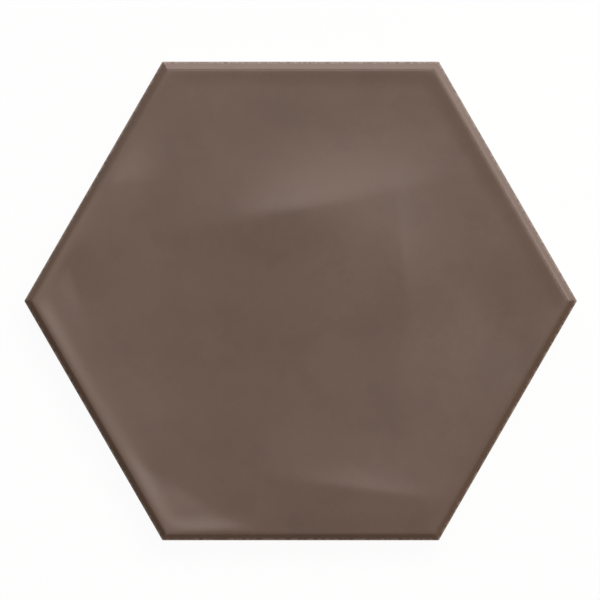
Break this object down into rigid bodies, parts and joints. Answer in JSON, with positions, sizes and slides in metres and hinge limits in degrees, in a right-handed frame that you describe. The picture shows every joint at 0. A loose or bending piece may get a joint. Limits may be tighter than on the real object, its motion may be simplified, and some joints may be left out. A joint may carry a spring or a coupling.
{
  "type": "hexagon floor tile",
  "caption": "Glazed hexagonal ceramic floor tile with bevelled sides, a gently wavy handmade-look face and a ribbed back for bedding.",
  "frame": {"origin": "centre of the back plane, which the tile lies on", "axes": "+Z out of the glazed face, +X from corner to corner, +Y square to two of the sides"},
  "size_m": [0.173, 0.15, 0.0095],
  "materials": {
    "glazed_tile": "satin brown glaze over an unglazed clay edge and back"
  },
  "bodies": {
    "root": {"hexagon_tile": "glazed_tile"}
  },
  "joints": []
}
